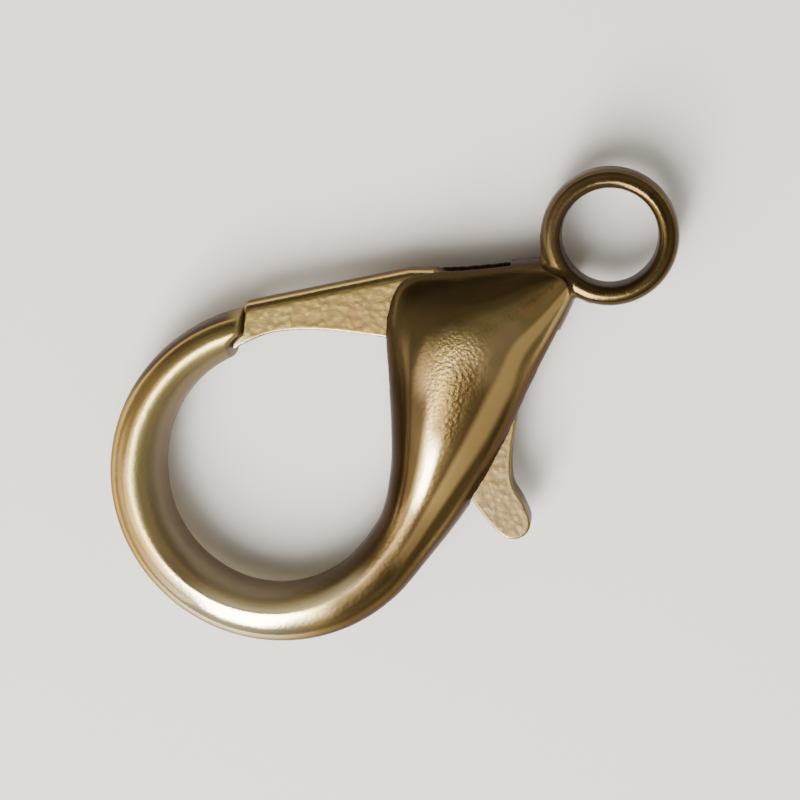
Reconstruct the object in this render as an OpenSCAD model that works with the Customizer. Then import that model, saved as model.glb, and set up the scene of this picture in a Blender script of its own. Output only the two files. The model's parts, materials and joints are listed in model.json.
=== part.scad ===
// Lobster clasp, lying flat. The eye's centre is the origin, the hook bends round
// at +X, the gate closes the loop at -Y and the thumb tab stands out at +Y.

/* [Overall] */
// Centre of the eye to the centre of the hook's bend
reach = 22.05; // [20:0.05:26]
// Outside radius of the hook's bend
hook_r = 9.25; // [8.5:0.05:10]

/* [Hook] */
// Width of the rod at the far end of the bend, seen from above
rod_w = 2.9; // [2.4:0.05:3.4]
// Depth of the rod from face to face
rod_h = 4.9; // [4.4:0.05:5.4]
// Width of the rod at the nose
nose_w = 2.3; // [2.1:0.05:2.6]
// Depth of the rod at the nose
nose_h = 4.5; // [4:0.05:4.9]
// Direction from the bend's centre to the outer end of the nose, in degrees
nose_angle = -115.5; // [-118:0.5:-112]

/* [Belly] */
// Width across the belly
belly_w = 9.6; // [9.2:0.1:10.2]
// Depth of the belly from face to face
belly_h = 6.4; // [6:0.1:7.2]
// Width of the neck where it leaves the eye
neck_w = 2.6; // [2.2:0.1:3]
// Depth of the neck
neck_h = 4.7; // [4.2:0.1:5.2]
// Solid length of the neck, from the eye's centre to the slot
neck_x = 5.1; // [4.8:0.1:5.6]

/* [Eye] */
// Radius of the eye's hole
eye_r = 2.55; // [2.3:0.05:2.7]
// Thickness of the eye's ring, measured outwards
eye_wall = 1.1; // [1:0.05:1.4]
// Depth of the eye
eye_h = 3.6; // [3.4:0.1:4.2]
// Length of the straight wall inside the eye
eye_land = 2.2; // [2:0.1:2.6]
// Depth of the webs that run from the eye into the neck
web_h = 2.4; // [2:0.1:3]

/* [Lever] */
// Thickness of the lever's plate
lever_t = 2.1; // [1.8:0.05:2.6]
// Width of the tongue at the gate's tip
tongue_w = 0.4; // [0.3:0.05:0.5]
// How far the gate's edge on the loop's side curves in
gate_sag = 0.8; // [0.6:0.05:1]
// Width of the thumb tab
tab_w = 2.3; // [2:0.05:2.6]
// Height of the thumb tab above the body's edge
tab_h = 3.6; // [3:0.1:4]
// How far the lever's edge lies inside the body's edge on the eye side of the tab
lever_in = 0.25; // [0.1:0.05:0.4]
// Opening angle of the lever, in degrees
swing = 28; // [20:1:30]

/* [Pivot] */
// Distance of the pivot from the eye's centre, along the clasp
pivot_x = 9.8; // [9.5:0.1:10.1]
// Offset of the pivot across the clasp
pivot_y = -0.8; // [-1:0.1:-0.5]
// Radius of the pivot pin
pin_r = 0.8; // [0.6:0.05:0.9]
// Depth of the pin's seat in each cheek
pin_seat = 0.9; // [0.7:0.05:1]

/* [Gaps] */
// Gap between the lever and each cheek
side_gap = 0.15; // [0.1:0.01:0.2]
// Gap between the gate's tip and the nose
seat_gap = 0.1; // [0.05:0.01:0.15]
// Gap round the pin inside the lever
pin_gap = 0.05; // [0.03:0.01:0.09]
// Gap round the pin inside its seats
press_gap = 0.01; // [0.01:0.005:0.03]
// Gap between the lever's edges and the walls of the slot
slot_gap = 0.25; // [0.2:0.01:0.35]

/* [Finish] */
// Steps between two stations of the body
ring_steps = 3; // [2:1:4]
// Steps on each quarter of the body's section
arc_steps = 5; // [4:1:6]

/* [Hidden] */
bronze = "#a58a58";
pebbled = "#b5a074";
eye_out = eye_r + eye_wall;
slot_h = lever_t + 2 * side_gap;
pivot = [pivot_x, pivot_y];
bend = [reach, 0];

// Direction from the bend's centre at which the shank runs into the bend
bend_start = 98;
// Direction of every section of the shank, from the tab side to the gate side
across = dir(bend_start + 180);
shank_start = [0.8 * eye_out, 0.52 * neck_w];
shank_end = bend + hook_r * dir(bend_start);
shank = shank_end - shank_start;

// Columns of a station: the section's outer end, its inner end, half its depth,
// and the place and height of its ridge as shares of the width and the half depth
OX = 0;
OY = 1;
IX = 2;
IY = 3;
HALF = 4;
RIDGE_T = 5;
RIDGE_Z = 6;

// Stations of the shank, from the neck through the belly to the bend.
// along: share of the shank's length; bow: share of hook_r that the tab side
// stands out of the straight; wide and deep: share of the way from the neck's
// or the rod's size to the belly's; ridge_t and ridge_z as in a station
SHANK = [
// along    bow    wide   deep  ridge_t ridge_z
    [0.000, -0.030, -0.13, -0.45, 0.66, 0.82],
    [0.022,  0.000,  0.02, -0.10, 0.66, 0.84],
    [0.060,  0.014,  0.15,  0.06, 0.67, 0.87],
    [0.130,  0.026,  0.36,  0.30, 0.68, 0.89],
    [0.200,  0.037,  0.57,  0.52, 0.70, 0.90],
    [0.260,  0.047,  0.76,  0.72, 0.72, 0.91],
    [0.316,  0.058,  0.91,  0.88, 0.73, 0.91],
    [0.370,  0.071,  0.99,  0.98, 0.74, 0.91],
    [0.425,  0.084,  0.99,  1.00, 0.74, 0.91],
    [0.490,  0.095,  0.92,  0.96, 0.73, 0.91],
    [0.570,  0.100,  0.73,  0.86, 0.72, 0.91],
    [0.665,  0.095,  0.49,  0.67, 0.72, 0.90],
    [0.760,  0.078,  0.27,  0.42, 0.73, 0.89],
    [0.870,  0.046,  0.10,  0.17, 0.75, 0.88]
];
// Share of the shank's length before which a row starts from the neck's sizes
PEAK = 0.4;
// Share of the belly's swelling that is left where the bend starts
ROOT_SWELL = 0.06;
// Directions between which the rod keeps its width, from the bend's centre
EVEN = [40, -40];
BEND_STATIONS = 14;
ROD_RIDGE = [0.76, 0.87];
// Share of the section's width at which it is deepest
CREST = 0.47;
// Roundness of the section's tab side: 2 is an ellipse, more is squarer
FULLNESS = 2.3;
// Share of the half depth up to which the section's gate side stands upright
FOOT = 0.37;
// The swept body runs this many degrees past the nose before its end is cut
OVERRUN = 14;

function dir(a) = [cos(a), sin(a)];
function left(v) = [-v[1], v[0]] / norm(v);
function mix(a, b, s) = a + (b - a) * s;
function clamp01(s) = max(0, min(1, s));

function shank_station(row) =
    let(
        near = row[0] < PEAK,
        wide = mix(near ? neck_w : rod_w, belly_w, row[2]),
        deep = mix(near ? neck_h : rod_h, belly_h, row[3]),
        outer = shank_start + row[0] * shank + row[1] * hook_r * left(shank),
        inner = outer + wide * across
    )
    [outer[0], outer[1], inner[0], inner[1], deep / 2, row[4], row[5]];

function bend_station(a) =
    let(
        root = clamp01((a - EVEN[0]) / (bend_start - EVEN[0])),
        tip = clamp01((EVEN[1] - a) / (EVEN[1] - nose_angle)),
        wide = mix(mix(rod_w, belly_w, ROOT_SWELL * root), nose_w, tip),
        outer = bend + hook_r * dir(a),
        inner = bend + (hook_r - wide) * dir(a)
    )
    [outer[0], outer[1], inner[0], inner[1], mix(rod_h, nose_h, tip) / 2, ROD_RIDGE[0], ROD_RIDGE[1]];

STATIONS = concat(
    [for (row = SHANK) shank_station(row)],
    [for (i = [0:BEND_STATIONS])
        bend_station(mix(bend_start, nose_angle - OVERRUN, i / BEND_STATIONS))]
);
LAST = len(STATIONS) - 1;

// Smooth curve through the rows of a list; u counts rows and may be a fraction
function through(rows, u) =
    let(
        n = len(rows) - 1,
        i = min(floor(u), n - 1),
        s = u - i,
        a = rows[max(i - 1, 0)],
        b = rows[i],
        c = rows[i + 1],
        d = rows[min(i + 2, n)],
        square = 2 * a - 5 * b + 4 * c - d,
        cube = 3 * b - a - 3 * c + d
    )
    0.5 * (2 * b + (c - a) * s + square * s * s + cube * s * s * s);

function curve(points, steps) =
    [for (i = [0:(len(points) - 1) * steps]) through(points, i / steps)];

function station(u) = through(STATIONS, u);
function outer_edge(u) = let(s = station(u)) [s[OX], s[OY]];
function inner_edge(u) = let(s = station(u)) [s[IX], s[IY]];

// Upper half of a section as [share of width, share of half depth], from the
// tab side over the crest to the ridge and down the steep inner wall
function half_section(ridge_t, ridge_z) =
    let(
        bulge = [for (i = [0:arc_steps])
            let(a = 90 * i / arc_steps)
            [CREST * (1 - pow(cos(a), 2 / FULLNESS)), pow(sin(a), 2 / FULLNESS)]],
        wall = curve([
            [CREST, 1],
            [mix(CREST, ridge_t, 0.6), mix(1, ridge_z, 0.3)],
            [ridge_t, ridge_z],
            [mix(ridge_t, 1, 0.5), 0.78 * ridge_z],
            [mix(ridge_t, 1, 0.86), 0.55 * ridge_z],
            [1, FOOT]
        ], 2)
    )
    concat(bulge, [for (i = [1:len(wall) - 1]) wall[i]]);

function ring(s) =
    let(
        half = half_section(s[RIDGE_T], s[RIDGE_Z]),
        n = len(half),
        whole = concat(half, [for (i = [n - 1:-1:1]) [half[i][0], -half[i][1]]])
    )
    [for (p = whole) [mix(s[OX], s[IX], p[0]), mix(s[OY], s[IY], p[0]), p[1] * s[HALF]]];

module sweep_body() {
    rings = [for (i = [0:LAST * ring_steps]) ring(station(i / ring_steps))];
    n = len(rings[0]);
    m = len(rings);
    skin = [for (j = [0:m - 2], i = [0:n - 1])
        let(a = j * n + i, b = j * n + (i + 1) % n)
        each [[a, b + n, b], [a, a + n, b + n]]];
    caps = [[for (i = [0:n - 1]) i], [for (i = [n - 1:-1:0]) (m - 1) * n + i]];
    polyhedron(points = [for (r = rings) each r], faces = concat(skin, caps));
}

// Ring of the eye: a straight wall inside, a rounded crown and a rounded outside
module eye_ring() {
    crown = 0.55 * eye_wall;
    steps = 8;
    inside = [for (i = [0:steps])
        let(a = 90 * i / steps)
        [eye_r + crown * (1 - cos(a)), mix(eye_land, eye_h, sin(a)) / 2]];
    outside = [for (i = [1:steps])
        let(a = 90 * i / steps)
        [eye_r + mix(crown, eye_wall, sin(a)), mix(0.3 * eye_h, eye_h, cos(a)) / 2]];
    upper = concat(inside, outside);
    profile = concat(upper, [for (i = [len(upper) - 1:-1:0]) [upper[i][0], -upper[i][1]]]);
    rotate_extrude($fn = 96) polygon(profile);
}

// Webs that run from the eye's ring into both edges of the neck
module neck_webs() {
    root = mix(eye_r, eye_out, 0.4);
    linear_extrude(web_h, center = true)
        polygon([
            root * dir(-36), eye_out * dir(-38), mix(inner_edge(1), outer_edge(1), 0.05),
            mix(outer_edge(1.2), inner_edge(1.2), 0.12), eye_out * dir(38), root * dir(38)
        ]);
}

// Seam between the nose and the gate's tip, from the outside inwards, as
// [share of hook_r from the bend's centre, degrees past nose_angle]
SEAM = [[1.04, -0.7], [0.865, 2.7], [0.83, 7.7], [0.74, 9.6]];
seam = [for (p = SEAM) bend + p[0] * hook_r * dir(nose_angle + p[1])];

// Cuts the end of the swept body off along the seam
module nose_cut() {
    outside = 1.5 * hook_r * dir(nose_angle - 2);
    behind = 1.3 * hook_r * dir(nose_angle - 1.5 * OVERRUN);
    inside = 0.4 * hook_r * dir(nose_angle - OVERRUN);
    linear_extrude(2 * rod_h, center = true)
        polygon(concat(seam, [bend + inside, bend + behind, bend + outside]));
}

// Places on the body's edges that the lever lines up with, counted in stations
TAB_AT = 10.2;
FLUSH_AT = 4.5;
HEEL_AT = 5;
CHEEK_AT = 6;
CORNER_AT = 9.2;
// The slot leaves room for this many degrees past the full swing
SPARE_SWING = 12;
// Direction from the pivot at which the slot's blunt wall ends
WALL_END = 30;

tab_root = outer_edge(TAB_AT);
tab_half = tab_w / 2;
flush = outer_edge(FLUSH_AT) - lever_in * left(shank);
heel = inner_edge(HEEL_AT);
corner = inner_edge(CORNER_AT);
// The gate's outer edge starts here, just proud of the cheeks
gate_start = inner_edge(CHEEK_AT) + [0, -0.03 * belly_w];
// The gate's tip meets the nose along the seam
tip = [for (p = seam) p + seat_gap * [-0.9, 0.9]];
tongue = tip[2] + tongue_w * (tip[3] - tip[2]) / norm(tip[3] - tip[2]);
// Where the slot opens on the loop's side: past the lever's corner at full swing
corner_r = norm(corner - pivot) + slot_gap;
open_from = atan2(corner[1] - pivot_y, corner[0] - pivot_x) + swing + SPARE_SWING;

// A point of the gate's curved edge, as a share of the way back to the corner
// and a share of the edge's sag
function sagging(share, sag) =
    mix(tongue, corner, share) + sag * gate_sag * left(corner - tongue);

gate_edge = [
    tongue, sagging(0.12, 0.5), sagging(0.27, 0.92), sagging(0.45, 0.98),
    sagging(0.65, 0.75), sagging(0.85, 0.34), corner
];
// Inside the body, from the corner past the hub to the hook side of the tab
lever_front = [
    corner,
    [mix(corner[0], pivot_x, 0.12), mix(corner[1], pivot_y, 0.9)],
    [tab_root[0] - 0.05 * tab_w, mix(pivot_y, tab_root[1], 0.5)],
    tab_root + [tab_half, 0.05 * tab_h]
];
tab_edge = [
    tab_root + [tab_half, 0.3 * tab_h],
    tab_root + [0.95 * tab_half, 0.66 * tab_h],
    tab_root + [0.66 * tab_half, 0.91 * tab_h],
    tab_root + [0.02 * tab_half, tab_h],
    tab_root + [-0.58 * tab_half, 0.9 * tab_h],
    tab_root + [-0.86 * tab_half, 0.6 * tab_h],
    tab_root + [-1.02 * tab_half, 0.24 * tab_h],
    outer_edge(TAB_AT - 1.4) + 0.12 * tab_h * left(shank),
    outer_edge(TAB_AT - 2.6),
    outer_edge(TAB_AT - 4) - lever_in * left(shank),
    flush
];
// Round the back of the hub to the heel beside the gate
lever_back = [
    flush,
    [mix(flush[0], pivot_x, 0.05), mix(flush[1], pivot_y, 0.5)],
    [mix(flush[0], pivot_x, 0.12), pivot_y],
    mix([flush[0], pivot_y], heel, 0.62),
    heel
];

module hook_body() {
    color(bronze) difference() {
        union() {
            difference() {
                sweep_body();
                nose_cut();
                cylinder(h = 2 * belly_h, r = mix(eye_r, eye_out, 0.5), center = true, $fn = 96);
            }
            eye_ring();
            neck_webs();
        }
        cylinder(h = 2 * eye_h, r = eye_r, center = true, $fn = 96);
        slot();
        translate([pivot_x, pivot_y, 0])
            cylinder(h = slot_h + 2 * pin_seat, r = pin_r + press_gap, center = true, $fn = 48);
    }
}

// Slot between the two cheeks, as wide as the lever's swing needs. On the
// loop's side it opens beside the gate's corner and ends in a blunt wall
module slot() {
    beyond = 2 * hook_r;
    tab_wall = lever_front[3][0] + slot_gap;
    blunt = [for (i = [0:4]) pivot + corner_r * dir(mix(open_from, WALL_END, i / 4))];
    loop_x = mix(corner[0], reach, 0.25);
    linear_extrude(slot_h, center = true)
        polygon(concat(
            [[neck_x, beyond], [neck_x, -beyond], [loop_x, -beyond], [loop_x, blunt[0][1]]],
            blunt,
            [lever_front[2] + [slot_gap, 0], [tab_wall, tab_root[1]], [tab_wall, beyond]]
        ));
}

module lever() {
    outline = concat(
        [heel, gate_start, tip[0], tip[1], tip[2], tongue],
        curve(gate_edge, 2),
        curve(lever_front, 3),
        curve(tab_edge, 3),
        curve(lever_back, 3)
    );
    color(pebbled) difference() {
        linear_extrude(lever_t, center = true) polygon(outline);
        translate([pivot_x, pivot_y, 0])
            cylinder(h = 2 * lever_t, r = pin_r + pin_gap, center = true, $fn = 48);
    }
}

module pivot_pin() {
    color(bronze) translate([pivot_x, pivot_y, 0])
        cylinder(h = slot_h + 2 * pin_seat - 2 * press_gap, r = pin_r, center = true, $fn = 48);
}

hook_body();
lever();
pivot_pin();
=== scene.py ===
"""Looks of the lobster clasp: cast hook body with its eye, pebbled lever, hidden pin."""

import json
import math

import bmesh
import bpy
from mathutils import Matrix, Vector


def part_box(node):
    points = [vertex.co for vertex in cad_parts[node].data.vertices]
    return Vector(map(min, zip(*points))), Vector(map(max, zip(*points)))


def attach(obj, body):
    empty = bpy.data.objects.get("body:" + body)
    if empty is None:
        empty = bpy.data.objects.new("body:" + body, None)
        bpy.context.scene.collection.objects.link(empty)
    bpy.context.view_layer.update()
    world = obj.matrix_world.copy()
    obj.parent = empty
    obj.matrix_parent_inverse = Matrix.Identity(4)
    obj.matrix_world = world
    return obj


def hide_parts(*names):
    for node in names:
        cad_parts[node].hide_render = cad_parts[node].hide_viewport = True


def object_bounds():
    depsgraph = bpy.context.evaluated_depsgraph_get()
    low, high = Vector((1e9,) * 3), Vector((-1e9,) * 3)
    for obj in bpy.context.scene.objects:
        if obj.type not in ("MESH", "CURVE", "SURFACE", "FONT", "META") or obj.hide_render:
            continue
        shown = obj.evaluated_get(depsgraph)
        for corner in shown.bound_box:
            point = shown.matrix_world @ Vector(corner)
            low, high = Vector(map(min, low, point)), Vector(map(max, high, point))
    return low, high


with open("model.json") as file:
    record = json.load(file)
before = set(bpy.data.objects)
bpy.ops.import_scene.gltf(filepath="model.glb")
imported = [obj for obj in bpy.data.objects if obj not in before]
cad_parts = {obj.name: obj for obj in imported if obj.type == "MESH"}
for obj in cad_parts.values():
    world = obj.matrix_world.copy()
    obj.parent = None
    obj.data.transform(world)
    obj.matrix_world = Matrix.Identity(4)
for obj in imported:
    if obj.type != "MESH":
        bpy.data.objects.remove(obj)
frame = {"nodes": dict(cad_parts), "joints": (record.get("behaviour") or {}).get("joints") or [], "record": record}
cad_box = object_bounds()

# Pieces are shaped in millimetres and brought to metres when they are finished
MM = 0.001

# Sizes read from the frame
body_lo, body_hi = (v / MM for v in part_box("hook_body"))
lever_lo, lever_hi = (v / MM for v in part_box("lever"))
mounts = {m["name"]: m for m in frame["record"]["mounts"]}
gate_joint = frame["joints"][0]
EYE_R = mounts["eye_bore"]["dims"]["r_mm"]
EYE_OUT = -body_lo.x
HOOK_R = -body_lo.y
REACH = body_hi.x - HOOK_R
BELLY_H = body_hi.z - body_lo.z
LEVER_T = lever_hi.z - lever_lo.z
PIVOT = Vector(gate_joint["pos_m"][:2]) / MM
SWING = gate_joint["range_deg"][1]
BEND = Vector((REACH, 0.0))

# Sizes of the casting, as in the part
ROD_W = 2.9
ROD_H = 4.9
NOSE_W = 2.3
NOSE_H = 4.5
NOSE_ANGLE = -115.5
BELLY_W = 9.6
NECK_W = 2.6
NECK_H = 4.7
NECK_X = 5.1
EYE_H = 3.6
WEB_H = 2.4
TONGUE_W = 0.4
GATE_SAG = 0.8
TAB_W = 2.3
TAB_H = 3.6
LEVER_IN = 0.25
SIDE_GAP = 0.15
SLOT_GAP = 0.25
PIN_R = 0.8
PIN_SEAT = 0.9
PIN_GAP = 0.05
SLOT_H = LEVER_T + 2 * SIDE_GAP

# Sizes of the looks alone: a closer seat at the nose, the rounded back of the gate
SEAT_GAP = 0.06
BACK_ROUND = 0.6
BACK_DROP = 0.75

# Fineness of the shapes made here, how far tumbling rounds them, and the lever's pebbles
SWEEP_STEPS = 8
EYE_STEPS = 128
EYE_HOLE_STEPS = 96
PIN_STEPS = 48
CAST_GRAIN = 0.12
CAST_ROUNDS = 6
PLATE_GRAIN = 0.06
PLATE_BEVEL = 0.2
HELD_WITHIN = 0.04
CAVITY_REACH = 2.6
PEBBLE_SIZE = 0.3
PEBBLE_RELIEF = 0.015
PEBBLE_SEED = 3.0


def polar(radius, degrees):
    a = math.radians(degrees)
    return Vector((radius * math.cos(a), radius * math.sin(a)))


def left(v):
    return Vector((-v.y, v.x)).normalized()


def mix(a, b, share):
    return a + (b - a) * share


def clamp01(x):
    return max(0.0, min(1.0, x))


# The shank runs straight from the eye to where the hook's bend starts
BEND_START = 98
ACROSS = polar(1, BEND_START + 180)
SHANK_START = Vector((0.8 * EYE_OUT, 0.52 * NECK_W))
SHANK = BEND + polar(HOOK_R, BEND_START) - SHANK_START
# along: share of the shank; bow: share of HOOK_R; wide, deep: from neck or rod to belly;
# crown, ridge: shares of the width at which the section is highest and turns down steeply
SHANK_ROWS = [
    # along    bow    wide   deep  crown ridge
    (0.000, -0.030, -0.13, -0.45, 0.41, 0.66),
    (0.022, 0.000, 0.02, -0.10, 0.41, 0.66),
    (0.060, 0.014, 0.15, 0.06, 0.42, 0.67),
    (0.130, 0.026, 0.36, 0.30, 0.42, 0.68),
    (0.200, 0.037, 0.57, 0.56, 0.44, 0.70),
    (0.260, 0.047, 0.76, 0.80, 0.45, 0.72),
    (0.316, 0.058, 0.91, 0.95, 0.45, 0.73),
    (0.370, 0.071, 0.99, 1.00, 0.46, 0.74),
    (0.425, 0.084, 0.99, 0.99, 0.47, 0.75),
    (0.490, 0.095, 0.92, 0.93, 0.47, 0.76),
    (0.570, 0.100, 0.73, 0.80, 0.48, 0.77),
    (0.665, 0.095, 0.49, 0.53, 0.50, 0.78),
    (0.760, 0.078, 0.27, 0.24, 0.54, 0.79),
    (0.870, 0.046, 0.10, 0.10, 0.59, 0.80),
]
# Up to this share of the shank the widths start from the neck's, and past it from the rod's
PEAK = 0.4
# Share of the belly's width that swells the root of the bend
ROOT_SWELL = 0.06
# Directions between which the bend keeps the rod's width, and how far past the nose it is swept
EVEN = (40, -40)
OVERRUN = 14
BEND_STATIONS = 14
# Crown and ridge before and after the turn from the shank into the bend, and that turn in degrees
ROD_CROWN = (0.61, 0.455)
ROD_RIDGE = (0.80, 0.74)
CROWN_TURN = 75


def shank_station(along, bow, wide, deep, crown, ridge):
    """Outer point, inner point, half depth, crown and ridge of one row of the shank."""
    near = along < PEAK
    width = mix(NECK_W if near else ROD_W, BELLY_W, wide)
    depth = mix(NECK_H if near else ROD_H, BELLY_H, deep)
    outer = SHANK_START + along * SHANK + bow * HOOK_R * left(SHANK)
    return outer, outer + width * ACROSS, depth / 2, crown, ridge


def bend_station(degrees):
    """The same of the round bend, at a direction from its centre."""
    root = clamp01((degrees - EVEN[0]) / (BEND_START - EVEN[0]))
    tip = clamp01((EVEN[1] - degrees) / (EVEN[1] - NOSE_ANGLE))
    width = mix(mix(ROD_W, BELLY_W, ROOT_SWELL * root), NOSE_W, tip)
    outer = BEND + polar(HOOK_R, degrees)
    inner = BEND + polar(HOOK_R - width, degrees)
    turned = clamp01((EVEN[0] - degrees) / CROWN_TURN)
    return outer, inner, mix(ROD_H, NOSE_H, tip) / 2, mix(*ROD_CROWN, turned), mix(*ROD_RIDGE, turned)


STATIONS = [shank_station(*row) for row in SHANK_ROWS] + [
    bend_station(mix(BEND_START, NOSE_ANGLE - OVERRUN, i / BEND_STATIONS))
    for i in range(BEND_STATIONS + 1)
]


def through(rows, u):
    """Point of a smooth curve through the rows; u counts rows and may be a fraction."""
    last = len(rows) - 1
    i = min(int(u), last - 1)
    s = u - i
    a, b, c, d = (rows[min(max(i + k, 0), last)] for k in (-1, 0, 1, 2))
    square = 2 * a - 5 * b + 4 * c - d
    cube = 3 * b - a - 3 * c + d
    return 0.5 * (2 * b + (c - a) * s + square * s * s + cube * s * s * s)


def smooth(points, steps):
    count = (len(points) - 1) * steps
    return [through(points, i / steps) for i in range(count + 1)]


def outer_edge(u):
    return through([s[0] for s in STATIONS], u)


def inner_edge(u):
    return through([s[1] for s in STATIONS], u)


def rgba(code):
    """Linear colour of a hex code, opaque."""
    parts = [int(code[i:i + 2], 16) / 255 for i in (1, 3, 5)]
    return (*(c / 12.92 if c <= 0.04045 else ((c + 0.055) / 1.055) ** 2.4 for c in parts), 1.0)


class Wire:
    """An output socket: arithmetic on it adds Math nodes to its tree."""

    def __init__(self, graph, socket):
        self.graph = graph
        self.socket = socket

    def math(self, operation, *others):
        return self.graph.add("ShaderNodeMath", [self, *others], operation=operation)

    def __add__(self, other):
        return self.math("ADD", other)

    __radd__ = __add__

    def __sub__(self, other):
        return self.math("SUBTRACT", other)

    def __rsub__(self, other):
        return self.graph.add("ShaderNodeMath", [other, self], operation="SUBTRACT")

    def __mul__(self, other):
        return self.math("MULTIPLY", other)

    __rmul__ = __mul__

    def __truediv__(self, other):
        return self.math("DIVIDE", other)

    def __rtruediv__(self, other):
        return self.graph.add("ShaderNodeMath", [other, self], operation="DIVIDE")

    def of(self, name):
        """Another output of the same node."""
        return Wire(self.graph, self.graph.pick(self.socket.node.outputs, name))


class Graph:
    """Adds nodes to a shader or geometry tree."""

    def __init__(self, tree):
        self.tree = tree

    def pick(self, sockets, key):
        shown = [s for s in sockets if s.enabled]
        return shown[key] if isinstance(key, int) else next(s for s in shown if s.name == key)

    def add(self, kind, values=(), stops=None, **settings):
        """A node of that type: settings and ramp stops first, then values or links of sockets."""
        node = self.tree.nodes.new(kind)
        for name, value in settings.items():
            setattr(node, name, value)
        if stops:
            ramp = node.color_ramp
            while len(ramp.elements) < len(stops):
                ramp.elements.new(1.0)
            for element, (place, colour) in zip(ramp.elements, stops):
                element.position = place
                element.color = rgba(colour)
        pairs = values.items() if isinstance(values, dict) else enumerate(values)
        for key, value in pairs:
            socket = self.pick(node.inputs, key)
            if isinstance(value, Wire):
                self.tree.links.new(value.socket, socket)
            else:
                socket.default_value = value
        return Wire(self, self.pick(node.outputs, 0)) if node.outputs else None

    def blend(self, factor, a, b):
        """Mix of two colours."""
        values = {"Factor": factor, "A": a, "B": b}
        return self.add("ShaderNodeMix", values, data_type="RGBA")

    def ease(self, value, low, high, to_low=0.0, to_high=1.0):
        """Value eased from low..high to to_low..to_high and held outside."""
        values = {"Value": value, "From Min": low, "From Max": high}
        values |= {"To Min": to_low, "To Max": to_high}
        return self.add("ShaderNodeMapRange", values, interpolation_type="SMOOTHSTEP")

    def fall(self, value, low, high):
        """1 up to low, easing to 0 at high."""
        return self.ease(value, low, high, 1.0, 0.0)

    def window(self, value, start, full, fade, end):
        """Rises over start..full and falls over fade..end."""
        return self.ease(value, start, full) * self.fall(value, fade, end)

    def band(self, value, middle, core, edge):
        """1 within core of the middle, 0 beyond edge."""
        return self.fall((value - middle).math("ABSOLUTE"), core, edge)


def geometry_tree(name, inputs):
    """A geometry tree with named inputs, as (graph, wires of the inputs, tree)."""
    tree = bpy.data.node_groups.new(name, "GeometryNodeTree")
    tree.is_modifier = True
    tree.interface.new_socket("Geometry", in_out="INPUT", socket_type="NodeSocketGeometry")
    tree.interface.new_socket("Geometry", in_out="OUTPUT", socket_type="NodeSocketGeometry")
    for label, kind in inputs.items():
        tree.interface.new_socket(label, in_out="INPUT", socket_type="NodeSocket" + kind)
    graph = Graph(tree)
    source = tree.nodes.new("NodeGroupInput")
    wires = {s.name: Wire(graph, s) for s in source.outputs if s.name}
    return graph, wires, tree


def end_tree(graph, geometry, material):
    """Realizes the instances, sets the material and closes the tree."""
    real = graph.add("GeometryNodeRealizeInstances", [geometry])
    done = graph.add("GeometryNodeSetMaterial", {"Geometry": real, "Material": material})
    graph.add("NodeGroupOutput", {"Geometry": done})


def run_tree(obj, tree, values):
    """Adds the tree as a modifier with its named inputs set."""
    modifier = obj.modifiers.new(tree.name, "NODES")
    modifier.node_group = tree
    for item in tree.interface.items_tree:
        if item.in_out == "INPUT" and item.name in values:
            modifier[item.identifier] = values[item.name]


def cast_sweep_tree():
    """Sweeps a section along a line whose points hold the section's two ends and half depth."""
    inputs = {
        "Section": "Object", "Steps": "Int", "Section Crown": "Float", "Section Ridge": "Float",
        "Material": "Material",
    }
    graph, wires, tree = geometry_tree("cast_sweep", inputs)

    def field(name, kind):
        return graph.add("GeometryNodeInputNamedAttribute", {"Name": name}, data_type=kind)

    def smooth_line(mesh):
        line = graph.add("GeometryNodeMeshToCurve", {"Mesh": mesh})
        line = graph.add("GeometryNodeCurveSplineType", {"Curve": line}, spline_type="CATMULL_ROM")
        values = {"Geometry": line, "Resolution": wires["Steps"]}
        return graph.add("GeometryNodeSetSplineResolution", values)

    section = graph.add("GeometryNodeObjectInfo", {"Object": wires["Section"]}).of("Geometry")
    lines = {"Curve": smooth_line(wires["Geometry"]), "Profile Curve": smooth_line(section)}
    tube = graph.add("GeometryNodeCurveToMesh", {**lines, "Fill Caps": True})

    place = graph.add("ShaderNodeSeparateXYZ", [field("share", "FLOAT_VECTOR")])
    share, height = place.of("X"), place.of("Y")
    crown, ridge = field("crown", "FLOAT"), field("ridge", "FLOAT")

    def span(start, end, width):
        """The part of the new width that the share has passed between two of its old places."""
        values = {"Value": share, "From Min": start, "From Max": end, "To Max": width}
        return graph.add("ShaderNodeMapRange", values)

    usual = [0.0, wires["Section Crown"], wires["Section Ridge"], 1.0]
    spans = [span(*row) for row in zip(usual, usual[1:], (crown, ridge - crown, 1 - ridge))]
    bent = spans[0] + spans[1] + spans[2]
    values = {"Factor": bent, "A": field("outer", "FLOAT_VECTOR"), "B": field("inner", "FLOAT_VECTOR")}
    flat = graph.add("ShaderNodeMix", values, data_type="VECTOR", clamp_factor=False)
    rise = graph.add("ShaderNodeCombineXYZ", {"Z": height * field("half_depth", "FLOAT")})
    values = {0: flat, 1: rise}
    moved = graph.add("ShaderNodeVectorMath", values, operation="ADD")
    skin = graph.add("GeometryNodeSetPosition", {"Geometry": tube, "Position": moved})
    end_tree(graph, skin, wires["Material"])
    return tree


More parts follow.
